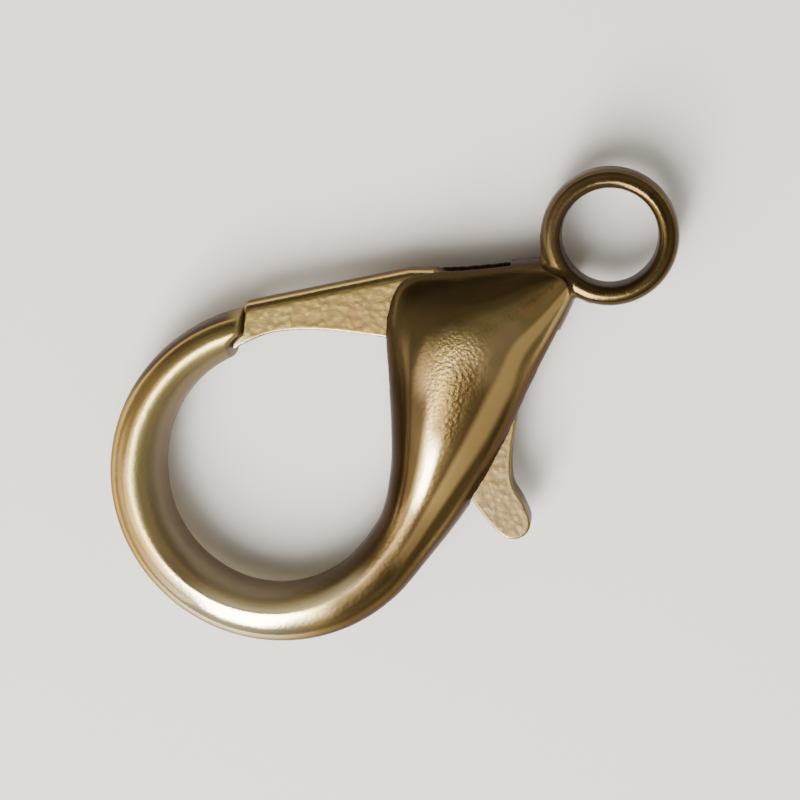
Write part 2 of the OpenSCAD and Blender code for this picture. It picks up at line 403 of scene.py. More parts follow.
def finish_marks_tree():
    """Draws the melted skin back onto the sharp shape and marks each spot for its wear, patina and painted light.

    rise: how far a spot faces up or down; cavity: how closely metal faces it or
    the lever lies by it, for patina and painted shade; flow: distance along the rod and place across it.
    """
    inputs = {
        "Sharp": "Object", "Rod": "Object", "Mate": "Object",
        "Hold": "Float", "Reach": "Float", "Material": "Material",
    }
    graph, wires, tree = geometry_tree("finish_marks", inputs)

    def geometry_of(label):
        return graph.add("GeometryNodeObjectInfo", {"Object": wires[label]}).of("Geometry")

    def blur(field, rounds):
        return graph.add("GeometryNodeBlurAttribute", {"Value": field, "Iterations": rounds})

    def store(geometry, name, field, kind="FLOAT"):
        values = {"Geometry": geometry, "Name": name, "Value": field}
        return graph.add("GeometryNodeStoreNamedAttribute", values, data_type=kind, domain="POINT")

    def nearest(label):
        values = {"Geometry": geometry_of(label)}
        return graph.add("GeometryNodeProximity", values, target_element="FACES")

    sharp = nearest("Sharp")
    spot = graph.add("GeometryNodeInputPosition")
    drawn = 1 - graph.ease(sharp.of("Distance"), 0.4 * wires["Hold"], wires["Hold"])
    values = {"Factor": blur(drawn, 2), "A": spot, "B": sharp}
    held = graph.add("ShaderNodeMix", values, data_type="VECTOR")
    skin = graph.add("GeometryNodeSetPosition", {"Geometry": wires["Geometry"], "Position": held})

    normal = graph.add("GeometryNodeInputNormal")
    rise = graph.add("ShaderNodeSeparateXYZ", [normal]).of("Z").math("ABSOLUTE")
    skin = store(skin, "rise", blur(rise, 4))

    # Closeness of facing metal, stored as cavity for the patina and painted shade in corners
    lift = graph.add("ShaderNodeVectorMath", {0: normal, "Scale": 0.1}, operation="SCALE")
    values = {0: graph.add("GeometryNodeInputPosition"), 1: lift}
    above = graph.add("ShaderNodeVectorMath", values, operation="ADD")
    values = {
        "Target Geometry": geometry_of("Sharp"), "Source Position": above,
        "Ray Direction": normal, "Ray Length": wires["Reach"],
    }
    ray = graph.add("GeometryNodeRaycast", values)
    closed = ray * (1 - 0.7 * ray.of("Hit Distance") / wires["Reach"])
    # Painted shade on the body where the lever lies by it
    shade_and_worn_sheen = 0.15 * graph.fall(nearest("Mate").of("Distance"), 0.1, 0.4)
    skin = store(skin, "cavity", blur(closed.math("MAXIMUM", shade_and_worn_sheen), 3))

    share = graph.add("GeometryNodeInputNamedAttribute", {"Name": "share"}, data_type="FLOAT_VECTOR")
    along = graph.add("GeometryNodeInputNamedAttribute", {"Name": "along"}, data_type="FLOAT")
    across = graph.add("ShaderNodeSeparateXYZ", [share])
    flow = graph.add("ShaderNodeCombineXYZ", {"X": along, "Y": across.of("X"), "Z": across.of("Y")})
    values = {
        "Mesh": geometry_of("Rod"), "Value": flow,
        "Sample Position": graph.add("GeometryNodeInputPosition"),
    }
    near = graph.add("GeometryNodeSampleNearestSurface", values, data_type="FLOAT_VECTOR")
    skin = store(skin, "flow", near, "FLOAT_VECTOR")
    end_tree(graph, skin, wires["Material"])
    return tree


def pebble_tree():
    """Raises rounded pebbles on the flat faces of a plate and marks their height."""
    inputs = {"Pebble Size": "Float", "Relief": "Float", "Seed": "Float", "Material": "Material"}
    graph, wires, tree = geometry_tree("pebbled_faces", inputs)
    normal = graph.add("GeometryNodeInputNormal")
    up = graph.add("ShaderNodeSeparateXYZ", [normal]).of("Z").math("ABSOLUTE")
    border = graph.add("GeometryNodeBlurAttribute", {"Value": up, "Iterations": 7})
    on_face = graph.ease(border, 0.9, 1.0)
    seed = graph.add("ShaderNodeCombineXYZ", {"X": wires["Seed"], "Y": wires["Seed"]})
    values = {0: graph.add("GeometryNodeInputPosition"), 1: seed}
    place = graph.add("ShaderNodeVectorMath", values, operation="ADD")
    bent = graph.add("ShaderNodeTexNoise", {"Vector": place, "Scale": 1.4, "Detail": 1.0}).of("Color")
    place = graph.add("ShaderNodeMix", {"Factor": 0.25, "A": place, "B": bent}, data_type="VECTOR")
    values = {"Vector": place, "Scale": 1 / wires["Pebble Size"], "Smoothness": 0.5}
    cells = graph.add("ShaderNodeTexVoronoi", values, voronoi_dimensions="2D", feature="SMOOTH_F1")
    worn = graph.add("ShaderNodeTexNoise", {"Vector": place, "Scale": 2.3, "Detail": 2.0})
    dome = graph.fall(cells, 0.05, 0.75) * graph.ease(worn, 0.25, 0.6, 0.35, 1.0)
    values = {"Geometry": wires["Geometry"], "Name": "pebble", "Value": dome * on_face + (1 - on_face)}
    marked = graph.add("GeometryNodeStoreNamedAttribute", values, data_type="FLOAT", domain="POINT")
    values = {"Geometry": marked, "Name": "rise", "Value": up}
    marked = graph.add("GeometryNodeStoreNamedAttribute", values, data_type="FLOAT", domain="POINT")
    height = (dome - 0.8) * wires["Relief"] * on_face
    offset = graph.add("ShaderNodeVectorMath", {0: normal, "Scale": height}, operation="SCALE")
    skin = graph.add("GeometryNodeSetPosition", {"Geometry": marked, "Offset": offset})
    end_tree(graph, skin, wires["Material"])
    return tree


def new_object(name, mesh):
    obj = bpy.data.objects.new(name, mesh)
    bpy.context.scene.collection.objects.link(obj)
    return obj


def line_object(name, points, attributes, closed=False):
    """A polyline with named point attributes, as the sweep's tree reads them."""
    mesh = bpy.data.meshes.new(name)
    edges = [(i, i + 1) for i in range(len(points) - 1)]
    if closed:
        edges.append((len(points) - 1, 0))
    mesh.from_pydata([Vector(p).to_3d() for p in points], edges, [])
    for label, (kind, values) in attributes.items():
        layer = mesh.attributes.new(label, kind, "POINT")
        if kind == "FLOAT_VECTOR":
            layer.data.foreach_set("vector", [x for v in values for x in Vector(v).to_3d()])
        else:
            layer.data.foreach_set("value", values)
    return new_object(name, mesh)


def bake_modifiers(obj):
    """Replaces the object's mesh by its evaluated one."""
    bpy.context.view_layer.update()
    graph = bpy.context.evaluated_depsgraph_get()
    mesh = bpy.data.meshes.new_from_object(obj.evaluated_get(graph), depsgraph=graph)
    obj.modifiers.clear()
    obj.data = mesh
    return obj


def prism(name, outline, height):
    """A closed straight-walled solid over a plan outline, half above and half below the middle."""
    bm = bmesh.new()
    base = [bm.verts.new((p[0], p[1], -height / 2)) for p in outline]
    face = bm.faces.new(base)
    raised = bmesh.ops.extrude_face_region(bm, geom=[face])["geom"]
    top = [v for v in raised if isinstance(v, bmesh.types.BMVert)]
    bmesh.ops.translate(bm, verts=top, vec=(0, 0, height))
    bmesh.ops.recalc_face_normals(bm, faces=bm.faces)
    mesh = bpy.data.meshes.new(name)
    bm.to_mesh(mesh)
    bm.free()
    return new_object(name, mesh)


def circle(centre, radius, count):
    return [centre + polar(radius, 360 * i / count) for i in range(count)]


def lathe(name, profile, steps):
    """A closed ring: the (radius, height) profile turned about Z."""
    count = len(profile)
    spots = [
        (*polar(r, 360 * j / steps), z) for j in range(steps) for r, z in profile
    ]
    faces = [
        (j * count + i, (j + 1) % steps * count + i,
         (j + 1) % steps * count + (i + 1) % count, j * count + (i + 1) % count)
        for j in range(steps) for i in range(count)
    ]
    mesh = bpy.data.meshes.new(name)
    mesh.from_pydata(spots, [], faces)
    bm = bmesh.new()
    bm.from_mesh(mesh)
    bmesh.ops.recalc_face_normals(bm, faces=bm.faces)
    bm.to_mesh(mesh)
    bm.free()
    return new_object(name, mesh)


def cut(obj, cutter):
    """Takes the cutter's volume away from the object."""
    modifier = obj.modifiers.new("cut", "BOOLEAN")
    modifier.operation = "DIFFERENCE"
    modifier.solver = "EXACT"
    modifier.object = cutter
    bake_modifiers(obj)
    bpy.data.objects.remove(cutter)


def fuse(name, parts):
    """Joins overlapping closed shells as one mesh."""
    bm = bmesh.new()
    for part in parts:
        bm.from_mesh(part.data)
        bpy.data.objects.remove(part)
    mesh = bpy.data.meshes.new(name)
    bm.to_mesh(mesh)
    bm.free()
    return new_object(name, mesh)


def soften(obj, grain, rounds):
    """Melts the shells into one skin and rounds its edges as a tumbled casting's."""
    remesh = obj.modifiers.new("skin", "REMESH")
    remesh.mode = "VOXEL"
    remesh.voxel_size = grain
    remesh.use_smooth_shade = True
    ease = obj.modifiers.new("tumbled", "SMOOTH")
    ease.factor = 0.5
    ease.iterations = rounds
    return bake_modifiers(obj)


def finish_piece(obj, body, slot, material, *nodes):
    """Brings the piece to metres and ties it to the frame."""
    obj.data.transform(Matrix.Scale(MM, 4))
    obj.data.materials.clear()
    obj.data.materials.append(material)
    for polygon in obj.data.polygons:
        polygon.use_smooth = True
    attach(obj, body)
    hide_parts(*nodes)
    return obj


# Upper half of the rod's section: share of the width, share of the half depth. The rows'
# crown and ridge say where the section's own two, named below, come to lie
TAB_SIDE = [(0.0, 0.0), (0.004, 0.22), (0.024, 0.44), (0.075, 0.66), (0.17, 0.84), (0.31, 0.95)]
CROWN = [(0.47, 1.0), (0.64, 0.975)]
GATE_SIDE = [(0.755, 0.905), (0.86, 0.75), (0.945, 0.56), (0.985, 0.38), (1.0, 0.16)]
SECTION_CROWN = CROWN[0][0]
SECTION_RIDGE = GATE_SIDE[0][0]


def swept_rod():
    """The hooked body from the neck through the belly to past the nose."""
    half = TAB_SIDE + CROWN + GATE_SIDE
    whole = half + [(t, -z) for t, z in reversed(half[1:])]
    section = line_object("section", whole, {"share": ("FLOAT_VECTOR", whole)}, closed=True)
    steps = [(b[0] - a[0]).length for a, b in zip(STATIONS, STATIONS[1:])]
    attributes = {
        "outer": ("FLOAT_VECTOR", [s[0] for s in STATIONS]),
        "inner": ("FLOAT_VECTOR", [s[1] for s in STATIONS]),
        "half_depth": ("FLOAT", [s[2] for s in STATIONS]),
        "crown": ("FLOAT", [s[3] for s in STATIONS]),
        "ridge": ("FLOAT", [s[4] for s in STATIONS]),
        "along": ("FLOAT", [sum(steps[:i]) for i in range(len(STATIONS))]),
    }
    rod = line_object("hooked_rod", [s[0] for s in STATIONS], attributes)
    shares = {"Section Crown": SECTION_CROWN, "Section Ridge": SECTION_RIDGE}
    run_tree(rod, cast_sweep_tree(), {**shares, "Section": section, "Steps": SWEEP_STEPS})
    bake_modifiers(rod)
    bpy.data.objects.remove(section)
    bm = bmesh.new()
    bm.from_mesh(rod.data)
    bmesh.ops.remove_doubles(bm, verts=bm.verts, dist=1e-4)
    bmesh.ops.recalc_face_normals(bm, faces=bm.faces)
    bm.to_mesh(rod.data)
    bm.free()
    return rod


# Stepped end of the nose: share of HOOK_R, degrees on from NOSE_ANGLE
SEAM = [(1.04, -0.7), (0.865, 2.7), (0.83, 7.7), (0.74, 9.6)]
seam = [BEND + polar(r * HOOK_R, NOSE_ANGLE + a) for r, a in SEAM]
# Stations at which the lever's tab, back, heel and corner and the gate's root lie
TAB_AT = 10.2
FLUSH_AT = 4.5
HEEL_AT = 5
CHEEK_AT = 6
CORNER_AT = 9.2
# Degrees by which the slot's blunt wall clears the open lever, and where that wall ends
SPARE_SWING = 12
WALL_END = 30
tab_root = outer_edge(TAB_AT)
corner = inner_edge(CORNER_AT)
heel = inner_edge(HEEL_AT)
flush = outer_edge(FLUSH_AT) - LEVER_IN * left(SHANK)
lever_waist = Vector((tab_root.x - 0.05 * TAB_W, mix(PIVOT.y, tab_root.y, 0.5)))


def slot_outline():
    beyond = 2 * HOOK_R
    arm = corner - PIVOT
    start = math.degrees(math.atan2(arm.y, arm.x)) + SWING + SPARE_SWING
    blunt = [PIVOT + polar(arm.length + SLOT_GAP, mix(start, WALL_END, i / 4)) for i in range(5)]
    loop_x = mix(corner.x, REACH, 0.25)
    tab_wall = tab_root.x + TAB_W / 2 + SLOT_GAP
    return [
        (NECK_X, beyond), (NECK_X, -beyond), (loop_x, -beyond), (loop_x, blunt[0].y),
        *blunt, lever_waist + Vector((SLOT_GAP, 0)), (tab_wall, tab_root.y), (tab_wall, beyond),
    ]


def eye_ring():
    """The eye: straight bore, nearly flat crown, rounded outer wall."""
    wall = EYE_OUT - EYE_R
    upper = [
        (0.0, 0.58), (0.015, 0.78), (0.06, 0.9), (0.13, 0.965), (0.22, 0.995), (0.32, 1.0), (0.5, 1.0),
        (0.64, 0.99), (0.75, 0.955), (0.85, 0.88), (0.93, 0.74), (0.98, 0.54), (1.0, 0.25),
    ]
    profile = [(EYE_R + w * wall, z * EYE_H / 2) for w, z in upper]
    return lathe("eye_ring", profile + [(r, -z) for r, z in reversed(profile[:-1])], EYE_STEPS)


def neck_webs():
    root, rim = mix(EYE_R, EYE_OUT, 0.4), mix(EYE_R, EYE_OUT, 0.8)
    outline = [
        polar(rim, -46), polar(EYE_OUT, -38), mix(inner_edge(1), outer_edge(1), 0.05),
        mix(outer_edge(1.2), inner_edge(1.2), 0.12), polar(EYE_OUT, 38), polar(rim, 46),
        *(polar(root, a) for a in range(40, -41, -8)),
    ]
    return prism("neck_webs", outline, WEB_H)


def cast_hook(material):
    """Hook body: swept rod, slot for the lever, cut nose, eye and webs in one casting."""
    rod = swept_rod()
    behind = BEND + polar(1.3 * HOOK_R, NOSE_ANGLE - 1.5 * OVERRUN)
    outside = BEND + polar(1.5 * HOOK_R, NOSE_ANGLE - 2)
    inside = BEND + polar(0.4 * HOOK_R, NOSE_ANGLE - OVERRUN)
    cut(rod, prism("nose_end", [*seam, inside, behind, outside], 2 * ROD_H))
    cut(rod, prism("slot", slot_outline(), SLOT_H))
    cut(rod, prism("pin_seats", circle(PIVOT, PIN_R, PIN_STEPS), SLOT_H + 2 * PIN_SEAT))
    hole = circle(Vector((0, 0)), mix(EYE_R, EYE_OUT, 0.5), EYE_HOLE_STEPS)
    cut(rod, prism("eye_hole", hole, 2 * BELLY_H))
    body = fuse("cast_hook", [rod, eye_ring(), neck_webs()])
    sharp = new_object("sharp", body.data.copy())
    soften(body, CAST_GRAIN, CAST_ROUNDS)
    helpers = {"Sharp": sharp, "Rod": swept_rod(), "Mate": prism("mate", lever_outline(), LEVER_T)}
    values = {**helpers, "Hold": HELD_WITHIN, "Reach": CAVITY_REACH, "Material": material}
    run_tree(body, finish_marks_tree(), values)
    bake_modifiers(body)
    for helper in helpers.values():
        bpy.data.objects.remove(helper)
    return finish_piece(body, "hook", "cast_bronze_plate", material, "hook_body")


def lever_outline():
    """Plan of the gate, hub and thumb tab."""
    half = TAB_W / 2
    tip = [p + SEAT_GAP * Vector((-0.9, 0.9)) for p in seam]
    tongue = tip[2] + TONGUE_W * (tip[3] - tip[2]).normalized()

    def sagging(share, sag):
        return mix(tongue, corner, share) + sag * GATE_SAG * left(corner - tongue)

    def tab(across, up):
        return tab_root + Vector((across * half, up * TAB_H))

    gate_start = inner_edge(CHEEK_AT) + Vector((0, -0.03 * BELLY_W))
    sags = [(0.12, 0.5), (0.27, 0.92), (0.45, 0.98), (0.65, 0.75), (0.85, 0.34)]
    gate_edge = [tongue, *(sagging(*s) for s in sags), corner]
    front = [
        corner,
        Vector((mix(corner.x, PIVOT.x, 0.12), mix(corner.y, PIVOT.y, 0.9))),
        lever_waist,
        tab(1, 0.05),
    ]
    edge = [
        tab(1, 0.3), tab(0.95, 0.66), tab(0.66, 0.91), tab(0.02, 1), tab(-0.58, 0.9),
        tab(-0.86, 0.6), tab(-1.02, 0.24),
        outer_edge(TAB_AT - 1.4) + 0.12 * TAB_H * left(SHANK),
        outer_edge(TAB_AT - 2.6),
        outer_edge(TAB_AT - 4) - LEVER_IN * left(SHANK),
        flush,
    ]
    back = [
        flush,
        Vector((mix(flush.x, PIVOT.x, 0.05), mix(flush.y, PIVOT.y, 0.5))),
        Vector((mix(flush.x, PIVOT.x, 0.12), PIVOT.y)),
        mix(Vector((flush.x, PIVOT.y)), heel, 0.62),
        heel,
    ]
    return [
        gate_start, tip[0], tip[1], tip[2],
        *smooth(gate_edge, 8), *smooth(front, 6)[1:], *smooth(edge, 8), *smooth(back, 6)[1:],
    ]


def round_gate_back(plate, start, end):
    """Rounds both rims of the gate's back wall, which runs straight between two plan points."""
    way = (end - start).normalized()
    inward = left(way)
    for vertex in plate.data.vertices:
        offset = vertex.co.xy - start
        depth = offset.dot(inward)
        if depth < BACK_ROUND and 0 < offset.dot(way) < (end - start).length + BACK_ROUND:
            fall = 1 - math.sqrt(1 - (1 - clamp01(depth / BACK_ROUND)) ** 2)
            limit = LEVER_T / 2 - BACK_DROP * fall
            vertex.co.z = max(-limit, min(limit, vertex.co.z))


def pebbled_lever(material):
    """Lever plate with softened edges and pebbles cast into both faces."""
    outline = lever_outline()
    plate = prism("pebbled_lever", outline, LEVER_T)
    bevel = plate.modifiers.new("edges", "BEVEL")
    bevel.width = PLATE_BEVEL
    bevel.segments = 3
    bevel.limit_method = "ANGLE"
    bevel.angle_limit = math.radians(50)
    bake_modifiers(plate)
    cut(plate, prism("pin_hole", circle(PIVOT, PIN_R + PIN_GAP, PIN_STEPS), 2 * LEVER_T))
    soften(plate, PLATE_GRAIN, 1)
    for start, end in ((heel, outline[0]), outline[:2]):
        round_gate_back(plate, start, end)
    soften(plate, PLATE_GRAIN, 2)
    values = {"Pebble Size": PEBBLE_SIZE, "Relief": PEBBLE_RELIEF, "Seed": PEBBLE_SEED}
    run_tree(plate, pebble_tree(), {**values, "Material": material})
    bake_modifiers(plate)
    return finish_piece(plate, "lever", "lever_bronze_plate", material, "lever")


def new_material(name):
    material = bpy.data.materials.new(name)
    material.use_nodes = True
    material.node_tree.nodes.clear()
    return material, Graph(material.node_tree)


def millimetres(graph):
    place = graph.add("ShaderNodeTexCoord").of("Object")
    return graph.add("ShaderNodeVectorMath", {"Vector": place, "Scale": 1 / MM}, operation="SCALE")


def noise(graph, place, size, detail=2.0):
    """Noise from 0 to 1 with features of that size in millimetres."""
    values = {"Vector": place, "Scale": 1 / size, "Detail": detail, "Roughness": 0.5}
    return graph.add("ShaderNodeTexNoise", values)


def mark(graph, name):
    """A value that the geometry stored on the surface."""
    return graph.add("ShaderNodeAttribute", attribute_name=name).of("Fac")


def close_metal(graph, colour, roughness, height, distance, metallic=1.0):
    """Principled metal with bump, linked to the output."""
    bump = graph.add("ShaderNodeBump", {"Height": height, "Distance": distance * MM, "Strength": 1.0})
    values = {
        "Base Color": colour, "Metallic": metallic, "Roughness": roughness, "Normal": bump,
        "Specular IOR Level": 0.15, "Specular Tint": rgba("#a08c70"),
    }
    shader = graph.add("ShaderNodeBsdfPrincipled", values)
    graph.add("ShaderNodeOutputMaterial", {"Surface": shader})


# Middle of the frosted patch on the belly, its direction and its half length and half width
FROST_SPOT = Vector((10.8, 1.1))
FROST_ALONG = Vector((0.76, 0.65))
FROST_SIZE = (3.8, 1.7)


def frost_mask(graph, place):
    """1 in the belly's frosted patch, easing out to 0."""
    def reach(direction, size):
        axis = (*(direction / size), 0.0)
        offset = -direction.dot(FROST_SPOT) / size
        values = {0: place, 1: axis}
        return graph.add("ShaderNodeVectorMath", values, operation="DOT_PRODUCT").of("Value") + offset

    long = reach(FROST_ALONG, FROST_SIZE[0])
    wide = reach(left(FROST_ALONG), FROST_SIZE[1])
    return graph.fall(long * long + wide * wide, 0.1, 1.6)


# Plating before any wear, patina or painted light: place on the ramp of its drawn-out noise and colour
PLATE_RAMP = [(0.36, "#ad8c66"), (0.46, "#c5a86c"), (0.54, "#b1a269"), (0.63, "#cfb382")]
# Tones laid on the plating: a few its own, patina and wear partly painted light, and the rest painted highlights,
# reflections, shade and light
PLATE_TONES = {
    "frosted": "#69552f", "shank_shade": "#56442c", "shade_and_worn_sheen": "#f0e8c2", "warm": "#c8965c",
    "olive": "#9a9468", "tab_side_shade": "#655233", "highlight_edge_shade": "#2a2414", "core": "#f4e4bc",
    "gold_sheen": "#ffd98c", "patina": "#544a34", "bight_wall": "#8c7f6c", "glow": "#d8c89c",
    "painted_shade": "#3a2a1a", "crest": "#1e160a", "brow": "#1a1008", "corner": "#2a2016",
    "hollow": "#6a563e", "nose_end": "#b09a60",
}
# Changes along the rod of the finish and of its painted highlights and shade, in shares of REACH: where each
# begins and is complete
ALONG = {
    "sheen_nears": (0.18, 0.32), "frost_deepens": (0.25, 0.38), "side_shade_deepens": (0.27, 0.39),
    "brow": (0.30, 0.40), "sheen_leaves": (0.36, 0.72), "bands_drift": (0.41, 0.73),
    "sheen_fades": (0.60, 0.76), "gold_sheen": (0.72, 0.86), "face": (0.75, 0.92),
    "rim_widens": (0.85, 1.10), "belly": (0.85, 1.15), "satin": (0.85, 1.20),
    "bend_side": (1.05, 1.25), "bend": (1.10, 1.25), "bight": (2.00, 2.20), "nose": (2.40, 2.45),
}
# Stretches of the rod, in shares of REACH
STRETCH = {
    # name        start full  fades end
    "skirt":     (0.42, 0.50, 0.66, 0.78),
    "core":      (0.50, 0.58, 0.62, 0.71),
    "shank":     (0.66, 0.84, 1.00, 1.15),
    "outer_rim": (0.70, 0.80, 1.15, 1.34),
    "crest":     (0.76, 0.86, 1.00, 1.08),
    "glow":      (0.84, 0.96, 1.34, 1.54),
    "shade_and_worn_sheen":    (1.08, 1.22, 1.42, 1.70),
    "warm":      (1.55, 1.72, 2.10, 2.30),
}
# Bands across the section, in shares of its width
BAND = {
    # name     middle  full  ends
    "core":   (0.485, 0.04, 0.09),
    "glow":   (0.660, 0.06, 0.19),
    "shade_and_worn_sheen": (0.340, 0.20, 0.32),
    "warm":   (0.290, 0.10, 0.20),
    "crest":  (0.360, 0.08, 0.16),
    "highlight_edge_shade": (0.420, 0.04, 0.11),
    "gold_sheen":   (0.170, 0.03, 0.08),
}


class CastPlating:
    """Colour of the casting's plating, laid on tone by tone, its own tones and painted light alike, and the masks
    that place the tones.

    run: share of REACH along the rod; across: share of the section's width from
    its outer side to the loop's; rise: how far a spot faces up or down.
    """

    def __init__(self, graph, place, flow):
        self.graph = graph
        parts = graph.add("ShaderNodeSeparateXYZ", [flow])
        self.run = parts.of("X") / REACH
        self.across = parts.of("Y")
        self.rise = mark(graph, "rise")
        self.from_eye = graph.add("ShaderNodeVectorMath", [place], operation="LENGTH").of("Value")
        self.in_eye = graph.fall(self.from_eye, EYE_OUT, EYE_OUT + 0.5)
        self.belly = self.before("belly") * (1 - self.in_eye)
        self.bend = self.past("bend")
        self.past_bight = self.past("bight")
        self.frost = frost_mask(graph, place)
        self.shank = graph.window(self.run, *STRETCH["shank"])
        self.shade_and_worn_sheen = self.patch("shade_and_worn_sheen")
        self.glow = self.patch("glow")

    def past(self, change):
        return self.graph.ease(self.run, *ALONG[change])

    def before(self, change):
        return self.graph.fall(self.run, *ALONG[change])

    def patch(self, name):
        return self.graph.window(self.run, *STRETCH[name]) * self.graph.band(self.across, *BAND[name])

    def lay(self, tone, amount):
        self.colour = self.graph.blend(amount, self.colour, rgba(PLATE_TONES[tone]))

    def start(self, flow, cloud):
        """Plating drawn out along the rod by tumbling and handling."""
        graph = self.graph
        drawn = graph.add("ShaderNodeVectorMath", {0: flow, 1: (0.16, 5.0, 0.6)}, operation="MULTIPLY")
        streak = graph.add("ShaderNodeTexNoise", {"Vector": drawn, "Scale": 1.0, "Detail": 3.0})
        self.colour = graph.add("ShaderNodeValToRGB", [0.6 * streak + 0.4 * cloud], stops=PLATE_RAMP)

    def tone_faces(self):
        """Frosted and worn faces, and the painted highlights, reflections and shade that run down the belly in
        stripes.
        """
        graph, across = self.graph, self.across
        # The plating's own frosted patch, its colour darkened as painted shade over the lamp's highlight
        self.lay("frosted", (0.2 + 0.6 * self.past("frost_deepens")) * self.frost)
        # Painted shade down the shank, dimming the lamp's highlight there
        self.lay("shank_shade", 0.8 * self.shank)
        # Worn bright spot on the bend, lightened further as a painted highlight
        self.lay("shade_and_worn_sheen", 0.8 * self.shade_and_worn_sheen)
        self.lay("warm", 0.3 * self.patch("warm"))
        self.lay("olive", 0.45 * self.bend * graph.ease(across, 0.46, 0.62))
        drifted = across - 0.08 * self.past("bands_drift")
        # Painted shade on the belly's tab side beside the highlight, deepening down the belly
        deepening = self.past("side_shade_deepens")
        tab_side_shade = graph.fall(drifted, 0.43, 0.53) * self.belly * self.before("face")
        self.lay("tab_side_shade", (0.42 + 0.44 * deepening) * tab_side_shade)
        # Painted shade: a dark band right beside the highlight
        highlight_edge_shade = graph.band(drifted, *BAND["highlight_edge_shade"]) * deepening * self.before("face")
        self.lay("highlight_edge_shade", 0.45 * highlight_edge_shade)
        # Painted highlight: the bright core of the lamp's reflection on the belly
        self.lay("core", 0.65 * self.patch("core"))
        # Painted reflection: a gold stripe of warm light down the belly's tab side
        bowed = across - 0.07 * self.before("sheen_nears") - 0.12 * self.past("sheen_leaves")
        gold_sheen = graph.band(bowed, *BAND["gold_sheen"]) * (0.85 - 0.45 * self.past("sheen_fades"))
        self.lay("gold_sheen", gold_sheen * self.before("gold_sheen") * (1 - self.in_eye))

    def tone_walls(self):
        """Patina on the walls where no one rubs them, deepened as painted shade, and painted light on the wall
        inside the bend.
        """
        graph, across = self.graph, self.across
        outer_side = graph.fall(across, 0.35, 0.6) * self.past("bend_side") * (1 - self.past_bight)
        # Steep walls and the loop side take patina that is also painted shade for the dark they reflect
        self.steep = graph.fall(self.rise + 0.2 * outer_side, 0.35, 0.84)
        self.worn = (1 - 0.2 * graph.ease(across, 0.5, 0.85)) * (1 - 0.94 * self.steep)
        self.lay("patina", 1 - self.worn)
        # Painted light: a lighter, greyer tone on the wall inside the bend
        self.lay("bight_wall", 0.5 * self.bend * graph.ease(across, 0.72, 0.9))
        # Painted light: a pale glow on the inner slope of the bend
        self.lay("glow", 0.45 * self.glow)

    def shade_sides(self):
        """Painted shade on the slopes beside the bright crown, and on the eye but for its shoulder."""
        graph, run, across = self.graph, self.run, self.across
        along_bend = self.bend * (1 - self.past_bight)
        # Painted shade: the tab-side brink, a dark bowl atop the belly as a dark reflection, a skirt round the
        # highlight and the hook's outer rim
        brink = graph.fall(across - 0.06 * self.past_bight, 0.07, 0.12) * (1 - 0.9 * along_bend)
        bowl = graph.ease(across - 0.265 * run, 0.44, 0.62) * self.belly
        skirt = 0.95 * graph.window(run, *STRETCH["skirt"]) * graph.ease(across, 0.54, 0.61)
        outer_rim = graph.fall(across - 0.12 * self.past("rim_widens"), 0.14, 0.24)
        outer_rim = 0.6 * graph.window(run, *STRETCH["outer_rim"]) * outer_rim
        sides = brink.math("MAXIMUM", bowl).math("MAXIMUM", skirt).math("MAXIMUM", outer_rim)
        # Painted shade over the eye's ring but for its shoulder
        inner_rim = graph.fall(self.from_eye, mix(EYE_R, EYE_OUT, 0.25), mix(EYE_R, EYE_OUT, 0.5))
        shoulder = graph.window(self.rise, 0.84, 0.93, 0.97, 0.99) * (0.1 + 0.8 * inner_rim)
        shade_amount = sides * (1 - self.in_eye) + 1.12 * (1 - shoulder) * self.in_eye
        self.lay("painted_shade", (0.78 + 0.16 * self.past_bight) * shade_amount)
        # Painted shade over the skirt and on the shank's crest, dimming the highlight there
        self.lay("crest", 0.6 * skirt.math("MAXIMUM", self.patch("crest")))
        # Painted shade along the belly's rim on the loop side
        brow = graph.ease(across, 0.82, 0.9) * self.before("brow")
        self.lay("brow", 0.5 * brow * (1 - self.in_eye))

    def fill_corners(self):
        """Patina and painted shade in corners, and painted light lifting the dark of the slot and of the nose's
        end.
        """
        graph = self.graph
        cavity = mark(graph, "cavity")
        self.hollow = graph.ease(cavity, 0.2, 0.34)
        # Patina in the hollows, deepened as painted shade in corners and beside the lever
        self.lay("corner", graph.ease(cavity, 0.05, 0.6, 0.0, 0.92) * (1 - 0.5 * self.hollow))
        # Painted light: the deepest hollows, such as the slot, lightened out of their shade
        self.lay("hollow", 0.6 * self.hollow)
        # Painted light: a lighter tone on the steep walls at the nose's end, lifting their shade
        self.lay("nose_end", 0.6 * self.past("nose") * graph.fall(self.rise, 0.5, 0.8))


def cast_plate_material():
    """Satin antique-bronze plating over a tumbled casting, with patina and painted shade on steep walls and in
    corners, and painted highlights and reflections along the rod.
    """
    material, graph = new_material("cast_bronze_plate")
    place = millimetres(graph)
    flow = graph.add("ShaderNodeAttribute", attribute_name="flow").of("Vector")
    cloud = noise(graph, place, 4.0, 2.0)
    plating = CastPlating(graph, place, flow)
    plating.start(flow, cloud)
    plating.tone_faces()
    plating.tone_walls()
    plating.shade_sides()
    plating.fill_corners()

    frost, shank = plating.frost, plating.shank
    roughness = 0.14 + 0.1 * cloud + 0.07 * frost + 0.1 * plating.steep + 0.07 * plating.past("satin")
    roughness = roughness - 0.1 * plating.shade_and_worn_sheen + 0.14 * shank
    # Less metallic under the patina, the painted glow and the lightened hollows
    metallic = (0.4 + 0.6 * plating.worn - 0.3 * plating.glow) * (1 - 0.7 * plating.hollow)
    peel = noise(graph, place, 0.21, 1.0)
    waves = noise(graph, place, 2.2, 1.0)
    height = waves * 0.6 + (peel - 0.5) * (0.15 + 0.38 * frost + 0.17 * shank)
    close_metal(graph, plating.colour, roughness, height, 0.03, metallic)
    return material


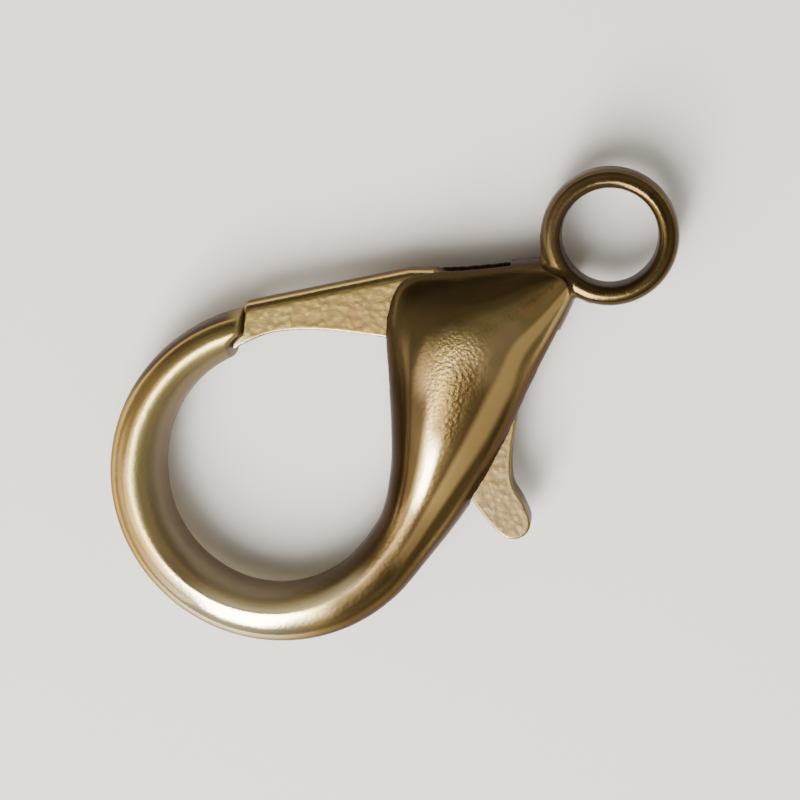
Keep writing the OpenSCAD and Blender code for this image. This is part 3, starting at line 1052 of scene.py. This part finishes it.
# The lever's plating from the tab to the gate, and the tones laid on it: patina and painted shade, and painted
# highlights
LEVER_RAMP = [(0.32, "#716145"), (0.54, "#7c653e"), (0.68, "#77693e"), (0.78, "#786f43")]
LEVER_TONES = {"pits": "#6b583c", "walls": "#4a3822", "rim": "#d2b67c", "tip": "#f6e2b0"}


def pebbled_plate_material():
    """Duller plating on the pebbled lever, darker between the pebbles and on the walls with patina and painted
    shade, and with painted highlights on its rim and tip.
    """
    material, graph = new_material("pebbled_bronze_plate")
    place = millimetres(graph)
    side = graph.add("ShaderNodeSeparateXYZ", [place]).of("Y") / HOOK_R
    tone = 0.3 - 0.22 * side + 0.4 * noise(graph, place, 1.6, 2.0)
    colour = graph.add("ShaderNodeValToRGB", [tone], stops=LEVER_RAMP)
    pebble, rise = mark(graph, "pebble"), mark(graph, "rise")
    steep = graph.fall(rise, 0.15, 0.6)
    # Bevelled rim: worn edge, brightened further as a painted highlight
    rim = graph.window(rise, 0.4, 0.65, 0.93, 0.99)
    # Distance from the gate's tip, where a painted highlight lies on the tongue
    values = {0: place, 1: (*seam[3], LEVER_T / 2)}
    from_tip = graph.add("ShaderNodeVectorMath", values, operation="DISTANCE").of("Value")
    # Pits and walls: patina and painted shade; rim and tip: painted highlights
    amounts = {
        "pits": graph.ease(pebble, 0.0, 0.6, 0.35, 0.0), "walls": 0.85 * steep,
        "rim": 0.8 * rim, "tip": graph.ease(from_tip, 0.4, 1.9, 0.6, 0.0),
    }
    for name, amount in amounts.items():
        colour = graph.blend(amount, colour, rgba(LEVER_TONES[name]))
    roughness = 0.4 + 0.1 * noise(graph, place, 1.2) - 0.08 * pebble - 0.16 * rim
    close_metal(graph, colour, roughness, noise(graph, place, 0.1, 2.0), 0.008, 1 - 0.6 * steep)
    return material


def pin_material():
    material, graph = new_material("drawn_pin")
    place = millimetres(graph)
    roughness = 0.35 + 0.1 * noise(graph, place, 0.5)
    close_metal(graph, rgba("#8f8a82"), roughness, noise(graph, place, 0.1), 0.003)
    return material


# Half the side of the table, in metres
TABLE_REACH = 0.6


def plain_floor():
    """Pale matte table that the clasp lies on."""
    material, graph = new_material("pale_table")
    values = {"Base Color": (0.83, 0.82, 0.8, 1.0), "Roughness": 0.75}
    graph.add("ShaderNodeOutputMaterial", [graph.add("ShaderNodeBsdfPrincipled", values)])
    mesh = bpy.data.meshes.new("table")
    z = cad_box[0].z
    corners = [(x * TABLE_REACH, y * TABLE_REACH, z) for x, y in ((-1, -1), (1, -1), (1, 1), (-1, 1))]
    mesh.from_pydata(corners, [], [(0, 1, 2, 3)])
    mesh.materials.append(material)
    new_object("table", mesh)


# The camera hangs beside the clasp, above the middle of what the photo shows
CAMERA_FOOT = Vector((-5.5, -6.5))
CAMERA_HEIGHT = 112
AIM = Vector((14.3, 0.6, 0.0))
FRAME_SIDE = 43.2
# Directions of the photo's right and up in the clasp's own plan
PHOTO_RIGHT = Vector((-0.804, 0.594, 0.0))
PHOTO_UP = Vector((-0.594, -0.804, 0.0))
SENSOR = 36


def make_camera():
    spot = Vector((CAMERA_FOOT.x, CAMERA_FOOT.y, CAMERA_HEIGHT))
    back = (spot - AIM).normalized()
    across = PHOTO_UP.cross(back).normalized()
    up = back.cross(across)
    data = bpy.data.cameras.new("camera")
    data.sensor_width = SENSOR
    data.lens = SENSOR * (spot - AIM).length / FRAME_SIDE
    data.clip_start = 0.005
    camera = bpy.data.objects.new("camera", data)
    turn = Matrix((across, up, back)).transposed().to_4x4()
    camera.matrix_world = Matrix.Translation(spot * MM) @ turn
    bpy.context.scene.collection.objects.link(camera)
    bpy.context.scene.camera = camera


def photo_way(around, height):
    """Direction at an angle round the photo from its right, and at a height above the table."""
    a, h = math.radians(around), math.radians(height)
    level = math.cos(a) * PHOTO_RIGHT + math.sin(a) * PHOTO_UP
    return math.cos(h) * level + Vector((0, 0, math.sin(h)))


def soft_box(name, around, height, away, side, glow, colour, in_gloss):
    """A soft box seen from the clasp in that direction, with that radiance."""
    data = bpy.data.lights.new(name, "AREA")
    data.shape = "RECTANGLE"
    data.size, data.size_y = (s * MM for s in side)
    data.energy = glow * math.pi * data.size * data.size_y
    data.color = colour
    light = bpy.data.objects.new(name, data)
    way = photo_way(around, height)
    light.location = (AIM + away * way) * MM
    light.rotation_mode = "QUATERNION"
    light.rotation_quaternion = way.to_track_quat("Z", "Y")
    light.visible_glossy = in_gloss
    bpy.context.scene.collection.objects.link(light)


# name, degrees round the photo, height in degrees, distance, sides, radiance, colour, seen in gloss
SOFT_BOXES = [
    ("lamp", 248, 55, 330, (90, 285), 23, (1.0, 0.98, 0.92), True),
    ("lamp_edge", 212, 55, 330, (150, 190), 2.6, (1.0, 0.88, 0.74), True),
    ("window", 205, 25, 340, (340, 110), 1.3, (1.0, 0.88, 0.74), True),
    ("table_fill", 255, 66, 420, (300, 300), 5.5, (1.0, 0.98, 0.96), False),
]
# Radiance of the room's walls, and of its parts that differ: the lighter wall behind the
# window, the far wall and the dark above. Each has a direction round the photo, a height in
# degrees, and the cosines from that direction at which it begins and is full
ROOM_WALLS = (0.34, 0.315, 0.275, 1.0)
ROOM_PARTS = [
    (245, 15, 0.1, 0.9, (0.5, 0.455, 0.39, 1.0)),
    (110, 12, 0.6, 0.95, (0.1, 0.088, 0.075, 1.0)),
    (100, 86, 0.965, 0.99, (0.06, 0.053, 0.046, 1.0)),
]


def make_room():
    """Dark warm room with soft boxes, lighter behind the window and darkest overhead."""
    for row in SOFT_BOXES:
        soft_box(*row)
    world = bpy.data.worlds.new("room")
    world.use_nodes = True
    world.node_tree.nodes.clear()
    graph = Graph(world.node_tree)
    way = graph.add("ShaderNodeTexCoord").of("Generated")
    colour = ROOM_WALLS
    for around, height, begins, full, radiance in ROOM_PARTS:
        values = {0: way, 1: tuple(photo_way(around, height))}
        facing = graph.add("ShaderNodeVectorMath", values, operation="DOT_PRODUCT").of("Value")
        colour = graph.blend(graph.ease(facing, begins, full), colour, radiance)
    background = graph.add("ShaderNodeBackground", {"Color": colour})
    graph.add("ShaderNodeOutputWorld", {"Surface": background})
    bpy.context.scene.world = world


make_camera()
make_room()
plain_floor()
cast_hook(cast_plate_material())
pebbled_lever(pebbled_plate_material())
pin = frame["nodes"]["pivot_pin"]
pin.data.materials.clear()
pin.data.materials.append(pin_material())
